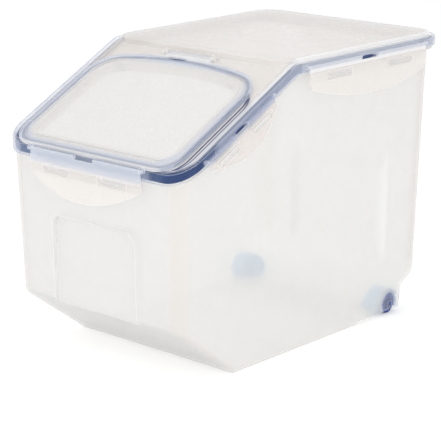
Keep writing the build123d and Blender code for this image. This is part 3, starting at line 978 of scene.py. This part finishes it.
@dataclass(frozen=True)
class FlipOutline:
    """Outline of the flip lid in the plane of the slope: straight sides and a bowed rear edge.

    Each corner arc touches a straight side and, at the rear, the bow's circle from inside, so its centre
    lies (bow radius - corner radius) from the bow's centre.

    Attributes:
        half_width: Half of its width.
        front: Distance of its front edge up the slope.
        shoulder: Distance at which the bow would meet the sides.
        bow: Height of the bow over that.
        front_radius: Radius of the front corners.
        rear_radius: Radius of the rear corners.
        step: Distance between stations.
        least: Fewest stations of an arc.
    """

    half_width: float = 97.0 * MM
    front: float = 4.0 * MM
    shoulder: float = 131.0 * MM
    bow: float = 14.5 * MM
    front_radius: float = 23.0 * MM
    rear_radius: float = 34.0 * MM
    step: float = 2.0 * MM
    least: int = 8

    def arcs(self) -> list[tuple[tuple[float, float], float, float, float]]:
        """Works out the arcs of the outline, anticlockwise from above.

        The bow's radius follows from its half width and its height: (w ** 2 + bow ** 2) / (2 bow).

        Returns:
            Each arc's centre, radius, start angle and end angle.
        """
        w, rf, rr = self.half_width, self.front_radius, self.rear_radius
        big = (w ** 2 + self.bow ** 2) / (2 * self.bow)
        middle = self.shoulder + self.bow - big
        centre_y = middle + math.sqrt((big - rr) ** 2 - (w - rr) ** 2)
        lean = math.atan2(centre_y - middle, w - rr)
        return [
            ((w - rf, self.front + rf), rf, -math.pi / 2, 0.0),
            ((w - rr, centre_y), rr, 0.0, lean),
            ((0.0, middle), big, lean, math.pi - lean),
            ((-w + rr, centre_y), rr, math.pi - lean, math.pi),
            ((-w + rf, self.front + rf), rf, math.pi, 1.5 * math.pi),
        ]

    def stations(self) -> tuple[np.ndarray, np.ndarray]:
        """Lays stations along the arcs, and along the straight sides where two arcs lie apart.

        Returns:
            Points of the outline and their outward normals, both in the plane of the slope.
        """
        arcs = self.arcs()
        points, normals = [], []
        for (centre, radius, start, end), follower in zip(arcs, arcs[1:] + arcs[:1]):
            count = max(self.least, int(radius * (end - start) / self.step))
            turn = np.linspace(start, end, count, endpoint=False)
            normal = np.stack([np.cos(turn), np.sin(turn)], axis=1)
            points.append(np.array(centre) + radius * normal)
            normals.append(normal)
            next_centre, next_radius, angle, _ = follower
            here = np.array(centre) + radius * np.array([math.cos(end), math.sin(end)])
            there = np.array(next_centre) + next_radius * np.array([math.cos(angle), math.sin(angle)])
            gap = np.linalg.norm(there - here)
            if gap > self.step:
                t = np.linspace(0.0, 1.0, int(gap / self.step), endpoint=False)[:, None]
                points.append(here + (there - here) * t)
                normals.append(np.repeat([[math.cos(end), math.sin(end)]], len(t), axis=0))
        return np.concatenate(points), np.concatenate(normals)


@dataclass(frozen=True)
class LippedSection:
    """Section of a silicone ring: a rounded rectangle whose two sides are ribbed with soft lips.

    The side at height t is drawn in by lip_depth * (1 + cos(2 pi lips t)) / 2, so a lip stands between
    two grooves and the section stays inside its rectangle.

    Attributes:
        width: Size across, along u.
        height: Size along v.
        corner: Radius of the four corners.
        lips: Number of lips on each side.
        lip_depth: Depth of the grooves.
        lip_points: Points along each lip.
        corner_points: Points along each corner.
    """

    width: float
    height: float
    corner: float
    lips: int
    lip_depth: float
    lip_points: int = 6
    corner_points: int = 5

    def quarter(self, centre_u: float, centre_v: float, start: float) -> np.ndarray:
        """Lays one corner's quarter circle, clockwise.

        Args:
            centre_u: Its centre along u.
            centre_v: Its centre along v.
            start: Angle at which it starts.

        Returns:
            Array of (u, v) points.
        """
        turn = start - np.linspace(0.0, math.pi / 2, self.corner_points)
        return np.stack([centre_u + self.corner * np.cos(turn), centre_v + self.corner * np.sin(turn)], 1)

    def points(self) -> np.ndarray:
        """Lays the whole section.

        Returns:
            Array of (u, v) points, clockwise with u to the right, which is anticlockwise as seen along
            the path.
        """
        low, right, high = self.corner, self.width - self.corner, self.height - self.corner
        rise = np.linspace(low, high, self.lip_points * self.lips + 1)[1:-1]
        wave = np.cos(2 * math.pi * self.lips * (rise - low) / (self.height - 2 * low))
        groove = self.lip_depth * (1 + wave) / 2
        return np.concatenate([
            np.stack([groove, rise], 1),
            self.quarter(low, high, math.pi),
            self.quarter(right, high, math.pi / 2),
            np.stack([self.width - groove, rise], 1)[::-1],
            self.quarter(right, low, 0.0),
            self.quarter(low, low, -math.pi / 2),
        ])


@dataclass(frozen=True)
class Gaskets:
    """The two navy silicone rings: one between the tub's rim and the main lid, one under the flip lid.

    Attributes:
        silicone: What both are moulded from.
        fold: The folded rim.
        lid: Plan of the main lid.
        flip: Outline of the flip lid.
        main_section: Section of the main lid's ring, with three lips on each side.
        main_inset: Distance of that ring from the lid's outline.
        main_rise: Distance of its lower side above the band's lower edge.
        flip_section: Section of the flip lid's ring, with one lip on each side.
        flip_inset: Distance of that ring from the flip lid's outline.
        flip_rise: Distance of its lower side above the slope.
    """

    # Silicone rubber from a satin mould: deep navy, soft shine, a bluish bloom of dust and oil on it.
    silicone: NavyMoulding = NavyMoulding("moulded_navy_silicone", "163A74", "3E62A4", worn=0.2)
    fold: Fold = Fold()
    lid: LidOutline = LidOutline()
    flip: FlipOutline = FlipOutline()
    main_section: LippedSection = LippedSection(4.0 * MM, 6.6 * MM, 0.5 * MM, lips=3, lip_depth=0.45 * MM)
    main_inset: float = 2.4 * MM
    main_rise: float = 0.6 * MM
    flip_section: LippedSection = LippedSection(4.0 * MM, 2.25 * MM, 0.6 * MM, lips=1, lip_depth=0.25 * MM)
    flip_inset: float = 2.0 * MM
    flip_rise: float = 9.45 * MM

    def main_ring(self) -> bpy.types.Object:
        """Carries its section round the lid's plan and lays it on the fold.

        A point of the section (u, v) lies at inset u in plan, at the height of the fold's sheet of rise v.

        Returns:
            The ring's object.
        """
        section = self.main_section.points()
        centre, normal = self.lid.stations()
        inset = self.main_inset + section[None, :, 0]
        plan = centre[:, None] + normal[:, None] * (self.lid.radius - inset)[..., None]
        rise = np.broadcast_to(self.main_rise + section[None, :, 1], plan.shape[:2])
        z = self.fold.height(plan[..., 1], rise)
        return ring_mesh("main_gasket_ring", np.concatenate([plan, z[..., None]], axis=2))

    def flip_ring(self) -> bpy.types.Object:
        """Carries its section round the flip lid's outline, in the plane of the slope.

        A point of the section (u, v) lies at inset u in that plane and at the rise v above it.

        Returns:
            The ring's object.
        """
        section = self.flip_section.points()
        point, normal = self.flip.stations()
        plan = point[:, None] - normal[:, None] * (self.flip_inset + section[None, :, 0])[..., None]
        rise = np.broadcast_to(self.flip_rise + section[None, :, 1], plan.shape[:2])
        x, y, z = self.fold.on_slope(plan[..., 1], across=plan[..., 0], rise=rise)
        return ring_mesh("flip_gasket_ring", np.stack([x, y, z], axis=2))

    def build(self) -> None:
        """Makes both rings, dresses them and lets them ride with what holds them."""
        rubber = self.silicone.build()
        for ring, node, body in ((self.main_ring(), "main_gasket", "bin"),
                                 (self.flip_ring(), "flip_gasket", "flip_lid")):
            ring.data.materials.append(rubber)
            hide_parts(node)
            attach(ring, body)
            log.info("built %s, %d faces, in %s", ring.name, len(ring.data.polygons), rubber.name)


# ---------------------------------------------------------------- the mouldings
@dataclass(frozen=True, kw_only=True)
class Moulding:
    """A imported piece, or several alike, whose shape stays and which takes its finish here.

    Attributes:
        nodes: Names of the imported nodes.
    """

    nodes: tuple[str, ...]

    def finish(self) -> Polypropylene | NavyMoulding:
        """Says what the pieces are moulded from."""
        raise NotImplementedError

    def dress(self) -> bpy.types.Material:
        """Builds the finish and gives it to every node.

        Returns:
            The finish's material.
        """
        material = self.finish().build()
        for node in self.nodes:
            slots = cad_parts[node].data.materials
            slots.clear()
            slots.append(material)
            log.info("dressed %s in %s", node, material.name)
        return material


@dataclass(frozen=True, kw_only=True)
class Tub(Moulding):
    """The frosted tub.

    Attributes:
        pocket: Middle of a wheel pocket.
        pocket_half: Half of its size.
        cheek: Middle of the cheek outside a wheel.
        cheek_half: Half of its size.
        grip_wall: Middle of a side wall of the rear grip.
        grip_wall_half: Half of that wall's three sizes.
        grip_blend_mm: Width over which the clearer wall fades out.
    """

    nodes: tuple[str, ...] = ("body",)
    pocket: Point = (82.0 * MM, 119.6 * MM, 10.3 * MM)
    pocket_half: float = 17.0 * MM
    cheek: Point = (106.0 * MM, 119.6 * MM, 10.3 * MM)
    cheek_half: float = 15.0 * MM
    grip_wall: Point = (53.0 * MM, 164.0 * MM, 84.0 * MM)
    grip_wall_half: Point = (3.0 * MM, 11.0 * MM, 62.0 * MM)
    grip_blend_mm: float = 1.0

    def finish(self) -> Polypropylene:
        """Natural polypropylene from a finely grained mould: milky see-through, with a wide soft shine.

        Returns:
            The finish, cloudier in the round corners and clearer in the cheeks, with the wheels' blue in
            their pockets.
        """
        corners = Zone(RoundCorners(), clear=0.60, glow="F4EEE9")
        pockets = Zone(SpotRegion(centre=self.pocket, half=(self.pocket_half,) * 3),
                       clear=0.34, glow="C2E2FC")
        cheeks = Zone(SpotRegion(centre=self.cheek, half=(self.cheek_half,) * 3),
                      clear=0.90, glow="DCE3F2")
        # The side walls of the grip are clearer, because they hardly show through the real bin.
        grip = Zone(SpotRegion(centre=self.grip_wall, half=self.grip_wall_half,
                               blend_mm=self.grip_blend_mm), clear=0.93, glow="F5F4F2")
        return Polypropylene("moulded_natural_polypropylene", "F5F4F2", clear=0.68, gloss=0.30,
                             zones=(corners, pockets, cheeks, grip))


@dataclass(frozen=True)
class GasketReflectionLine:
    """One dark line on the deck beside the flip lid: a painted reflection of the flip lid's silicone gasket
    in the deck.

    Attributes:
        across: Distance of the line's inner edge from the middle of the bin.
        wide: Width of the line.
        clear: Share of light that one face lets through there.
        glow: Colour of the line, sRGB hex.
    """

    across: float
    wide: float
    clear: float
    glow: str


@dataclass(frozen=True, kw_only=True)
class MainLid(Moulding):
    """The frosted, folded lid.

    Attributes:
        fold: The folded rim.
        middle_y: Middle of the lid along Y.
        rim_blend_mm: Width over which the shoulder's painted highlight and the band fade out.
        shoulder_highlight_half: Half sizes of the rectangle that the painted highlight on the shoulder runs
            round.
        shoulder_highlight_radius: Corner radius of that rectangle.
        shoulder_highlight_reach: Width of the painted highlight on the shoulder.
        band_half: Half sizes of the rectangle outside which the polished band lies, over the gasket.
        band_radius: Corner radius of that rectangle.
        turn_limit: Sum of |x| and |y - middle_y| from which the band is a corner.
        level_front: Y from which the shoulder's painted highlight and the band are painted whiter.
        sharp: Corner radius of a region that has no round corners.
        wide_blend_mm: Width over which a region without an edge on the piece fades out.
        fine_blend_mm: Width over which a line or a notch fades out.
        flank: Distance from the middle of the bin at which the flanks start, beside the flip lid.
        flank_reach: Width of the flanks.
        lines: The lines on the flanks, painted reflections of the flip lid's gasket.
        line_middle: Distance of the lines' middle up the slope.
        line_half: Half of their length.
        line_corner: Distance of their corners' centres from the middle of the bin.
        notch: Middle of the level clips' notch in the band.
        notch_half: Half of its three sizes.
        slope_notch: Place of the slope clips' notch: up the slope, across the bin and above the slope.
        slope_notch_half: Half of its three sizes.
    """

    nodes: tuple[str, ...] = ("main_lid",)
    fold: Fold = Fold()
    middle_y: float = 1.1 * MM
    rim_blend_mm: float = 1.2
    shoulder_highlight_half: tuple[float, float] = (102.2 * MM, 169.7 * MM)
    shoulder_highlight_radius: float = 17.2 * MM
    shoulder_highlight_reach: float = 4.3 * MM
    band_half: tuple[float, float] = (106.5 * MM, 174.0 * MM)
    band_radius: float = 21.5 * MM
    turn_limit: float = 247.0 * MM
    level_front: float = -30.0 * MM
    sharp: float = 1.0 * MM
    wide_blend_mm: float = 6.0
    fine_blend_mm: float = 0.5
    flank: float = 87.0 * MM
    flank_reach: float = 100.0 * MM
    lines: tuple[GasketReflectionLine, ...] = (GasketReflectionLine(97.7 * MM, 1.8 * MM, clear=0.20, glow="1E2E6A"),
                                   GasketReflectionLine(101.0 * MM, 1.4 * MM, clear=0.28, glow="56648E"))
    line_middle: float = 62.0 * MM
    line_half: float = 61.0 * MM
    line_corner: float = 71.7 * MM
    notch: Point = (110.0 * MM, 60.6 * MM, 255.8 * MM)
    notch_half: Point = (5.0 * MM, 11.5 * MM, 1.9 * MM)
    slope_notch: Point = (78.3 * MM, 110.0 * MM, 2.8 * MM)
    slope_notch_half: Point = (5.0 * MM, 8.5 * MM, 2.5 * MM)

    def rim_zones(self) -> tuple[tuple[Zone, ...], tuple[Zone, ...]]:
        """Lays the painted highlight on the shoulder and, outside it, the polished band over the gasket.

        Returns:
            The zones of the shoulder's painted highlight and those of the band.
        """
        middle = (0.0, self.middle_y, 0.0)
        # The shoulder is painted white: a painted highlight along its rounded edge.
        shoulder = Zone(RimRegion(blend_mm=self.rim_blend_mm, origin=middle, half=self.shoulder_highlight_half,
                                  radius=self.shoulder_highlight_radius, reach=self.shoulder_highlight_reach),
                        clear=0.48, glow="F7F9FE")
        band = Zone(RimRegion(blend_mm=self.rim_blend_mm, origin=middle, half=self.band_half,
                              radius=self.band_radius), clear=0.71, glow="C8D1E6")
        # On the level part both are painted whiter, a painted highlight: the photograph sees its walls at a
        # lower angle.
        level = RimRegion(blend_mm=self.wide_blend_mm, origin=(0.0, self.level_front - FAR, 0.0),
                          half=(FAR, FAR), radius=self.sharp, reach=FAR)
        level_shoulder_highlight = replace(shoulder, clear=0.34, glow=WHITE, within=level)
        level_band_highlight = replace(band, clear=0.53, glow="DDE2EF", within=level)
        # The band's corners show the gasket almost bare.
        turns = Zone(CutCorners(blend_mm=self.wide_blend_mm, middle_y=self.middle_y, limit=self.turn_limit),
                     clear=0.985, glow="7C9CC4", within=band.region)
        return (shoulder, level_shoulder_highlight), (band, level_band_highlight, turns)

    def reflection_line_zones(self) -> tuple[Zone, ...]:
        """Lays the fine dark lines on the deck beside the flip lid: a painted reflection of the flip lid's
        gasket.

        Returns:
            Their zones, one for each line.
        """
        flanks = RimRegion(blend_mm=self.wide_blend_mm, half=(self.flank, FAR), radius=self.sharp,
                           reach=self.flank_reach)
        # Painted reflection: dark lines where the deck mirrors the flip lid's gasket; they stay when the flip
        # lid opens.
        return tuple(
            Zone(RimRegion(blend_mm=self.fine_blend_mm, origin=self.fold.on_slope(self.line_middle),
                           tilt=self.fold.angle, half=(line.across, self.line_half),
                           radius=line.across - self.line_corner, reach=line.wide),
                 line.clear, line.glow, within=flanks)
            for line in self.lines)

    def notch_zones(self) -> tuple[Zone, ...]:
        """Lays the bare places behind the side clips' notches, where the gasket shows as a dark dash.

        Returns:
            The zone of the level clips' notches and that of the slope clips' notches.
        """
        along, across, rise = self.slope_notch
        return (Zone(SpotRegion(blend_mm=self.fine_blend_mm, centre=self.notch, half=self.notch_half),
                     clear=0.84, glow="5C6C9C"),
                Zone(SpotRegion(blend_mm=self.fine_blend_mm,
                                centre=self.fold.on_slope(along, across, rise),
                                half=self.slope_notch_half, tilt=self.fold.angle),
                     clear=0.88, glow="5C6C9C"))

    def finish(self) -> Polypropylene:
        """Clear polypropylene from a satin mould: milkier than the tub over the deck, with a tighter shine.

        Returns:
            The finish, with a painted highlight on the shoulder and a clear blue band round it, dark lines
            painted as a reflection of the flip lid's gasket, and dark dashes.
        """
        shoulder, band = self.rim_zones()
        return Polypropylene("moulded_clear_polypropylene", "EFEAE6", clear=0.60, gloss=0.22, shine=0.4,
                             zones=(*shoulder, *self.reflection_line_zones(), *band, *self.notch_zones()))


@dataclass(frozen=True, kw_only=True)
class FlipLid(Moulding):
    """The frosted flip lid on the slope.

    The places of its strips are given by the middle, half sizes and corner radius of the rectangle that
    each runs round, in the plane of the slope.

    Attributes:
        fold: The folded rim.
        loop_middle: Distance up the slope of the middle of the loop over the gasket.
        loop_half: Half sizes of its rectangle.
        loop_radius: Corner radius of its rectangle.
        end_middle: The same distance for the front and rear ends.
        end_half: Half sizes of their rectangle, which is wider than the lid.
        end_radius: Corner radius of their rectangle.
        end_reach: Width of the ends.
        end_blend_mm: Width over which they fade out.
        side_middle: The same distance for the outer sides.
        side_half: Half sizes of their rectangle.
        side_radius: Corner radius of their rectangle.
        side_reach: Width of the sides.
        gap: Bare place before the knuckle: up the slope, across the bin and above the slope.
        gap_half: Half of its three sizes.
        fine_blend_mm: Width over which the sides and the bare place fade out.
    """

    nodes: tuple[str, ...] = ("flip_lid",)
    fold: Fold = Fold()
    loop_middle: float = 72.0 * MM
    loop_half: tuple[float, float] = (88.0 * MM, 60.0 * MM)
    loop_radius: float = 22.0 * MM
    end_middle: float = 74.0 * MM
    end_half: tuple[float, float] = (130.0 * MM, 67.5 * MM)
    end_radius: float = 2.0 * MM
    end_reach: float = 6.5 * MM
    end_blend_mm: float = 1.5
    side_middle: float = 74.75 * MM
    side_half: tuple[float, float] = (96.0 * MM, 72.0 * MM)
    side_radius: float = 22.2 * MM
    side_reach: float = 3.0 * MM
    gap: Point = (141.4 * MM, -10.0 * MM, 12.0 * MM)
    gap_half: Point = (12.0 * MM, 2.0 * MM, 6.0 * MM)
    fine_blend_mm: float = 0.6

    def finish(self) -> Polypropylene:
        """Clear polypropylene from a satin mould: a thin even milk over what lies below.

        Returns:
            The finish, with a loop over its gasket, where the silicone's blue glows through.
        """
        tilt = self.fold.angle
        loop = Zone(RimRegion(origin=self.fold.on_slope(self.loop_middle), tilt=tilt, half=self.loop_half,
                              radius=self.loop_radius), clear=0.60, glow="DEE4F2")
        # Front and rear edges, where the clip's lugs and the knuckle thicken the wall.
        ends = Zone(RimRegion(blend_mm=self.end_blend_mm, origin=self.fold.on_slope(self.end_middle),
                              tilt=tilt, half=self.end_half, radius=self.end_radius, reach=self.end_reach),
                    clear=0.42, glow="EEEFF3")
        # Clear sides, through which the gasket's own flank shows.
        sides = Zone(RimRegion(blend_mm=self.fine_blend_mm, origin=self.fold.on_slope(self.side_middle),
                               tilt=tilt, half=self.side_half, radius=self.side_radius,
                               reach=self.side_reach), clear=0.86, glow="B4C0DC")
        # Bare place in front of the knuckle, where the gasket shows.
        along, across, rise = self.gap
        gap = Zone(SpotRegion(blend_mm=self.fine_blend_mm, centre=self.fold.on_slope(along, across, rise),
                              half=self.gap_half, tilt=tilt, mirrored=False), clear=0.97, glow="7C9CC4")
        return Polypropylene("satin_clear_polypropylene", "F1EFED", clear=0.64, gloss=0.25,
                             zones=(loop, ends, sides, gap))


class ClipGrade(Enum):
    """Finish of a cream polypropylene clip, by its material's name: the level-side clips take a copy of the
    plain one painted whiter, as a lit copy.
    """

    PLAIN = "moulded_cream_polypropylene"
    LEVEL_LIT = "lit_cream_polypropylene"
    THIN = "thin_moulded_cream_polypropylene"


@dataclass(frozen=True, kw_only=True)
class Clips(Moulding):
    """Snap-down clips of one grade, light blue where they lie over the gasket.

    Attributes:
        grade: Their grade.
        lift: Height over the band's lower edge from which a plain clip is light blue; below it the clip is
            painted whiter, a painted highlight along that edge.
        lit_lift: The same height for a level-side clip, painted whiter.
        edge_blend_mm: Width over which a plain or level-side clip changes at the band's lower edge.
        thin_blend_mm: The same width for a thin clip.
    """

    grade: ClipGrade
    lift: float = 2.4 * MM
    lit_lift: float = 3.2 * MM
    edge_blend_mm: float = 1.0
    thin_blend_mm: float = 0.6

    def finish(self) -> Polypropylene:
        """Cream polypropylene, satin: a warm milk, painted whiter on the level sides as a lit copy, and
        thinner on the slope.

        Returns:
            The finish of the clips' grade.
        """
        edge = BandRegion(blend_mm=self.edge_blend_mm)
        # Just above the band's lower edge the clip is cloudier and whiter: a painted highlight along that
        # edge.
        plain = Polypropylene(ClipGrade.PLAIN.value, "F2ECE7", clear=0.66, gloss=0.25,
                              zones=(Zone(edge, clear=0.36, glow="EFECEE"),
                                     Zone(BandRegion(lift=self.lift), clear=0.55, glow="E0E6F2")))
        # The level-side clips are the plain finish painted whiter, a lit copy with a whiter painted highlight
        # strip.
        if self.grade is ClipGrade.LEVEL_LIT:
            return replace(plain, name=self.grade.value, tint="F8F3EF", clear=0.61,
                           zones=(Zone(edge, clear=0.34, glow="FDFCFD"),
                                  Zone(BandRegion(lift=self.lit_lift), clear=0.55, glow="E6EAF4")))
        if self.grade is ClipGrade.THIN:
            thin_edge = BandRegion(blend_mm=self.thin_blend_mm)
            return replace(plain, name=self.grade.value, tint="F1E9E4",
                           zones=(Zone(thin_edge, clear=0.79, glow="A8B4D4"),))
        return plain


@dataclass(frozen=True, kw_only=True)
class Wheels(Moulding):
    """The two wheels and the pins that they turn on."""

    nodes: tuple[str, ...] = ("wheel_left", "wheel_right", "axle_left", "axle_right")

    def finish(self) -> NavyMoulding:
        """Navy polypropylene, moulded glossier than the silicone and scuffed pale on tread and rims.

        Returns:
            The finish.
        """
        grain = Grain(size_mm=0.5, depth_mm=0.03, detail=3.0, strength=0.5, swing=(0.85, 1.15))
        return NavyMoulding("moulded_navy_polypropylene", "1E3C8C", "5C78B8", roughness=0.36, specular=0.4,
                            grain=grain, bloom_mm=9.0, worn=0.35)


@dataclass(frozen=True)
class RiceBin:
    """The whole bin: tub, folded lid, flip lid, six clips, two wheels on their pins and two gaskets."""

    tub: Tub = Tub()
    main_lid: MainLid = MainLid()
    flip_lid: FlipLid = FlipLid()
    clips: tuple[Clips, ...] = (Clips(nodes=("front_clip", "rear_clip"), grade=ClipGrade.PLAIN),
                                Clips(nodes=("flat_clip_left", "flat_clip_right"), grade=ClipGrade.LEVEL_LIT),
                                Clips(nodes=("slope_clip_left", "slope_clip_right"), grade=ClipGrade.THIN))
    wheels: Wheels = Wheels()
    gaskets: Gaskets = Gaskets()

    def build(self) -> None:
        """Dresses every moulding and makes both gaskets."""
        for piece in (self.tub, self.main_lid, self.flip_lid, *self.clips, self.wheels):
            piece.dress()
        self.gaskets.build()


def main() -> None:
    """Builds the studio, the camera and every piece of the bin."""
    Studio().build()
    PhotoCamera().build()
    RiceBin().build()


if __name__ == "__main__":
    logging.basicConfig(level=logging.INFO, format="%(name)s: %(message)s")
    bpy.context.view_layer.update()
    main()
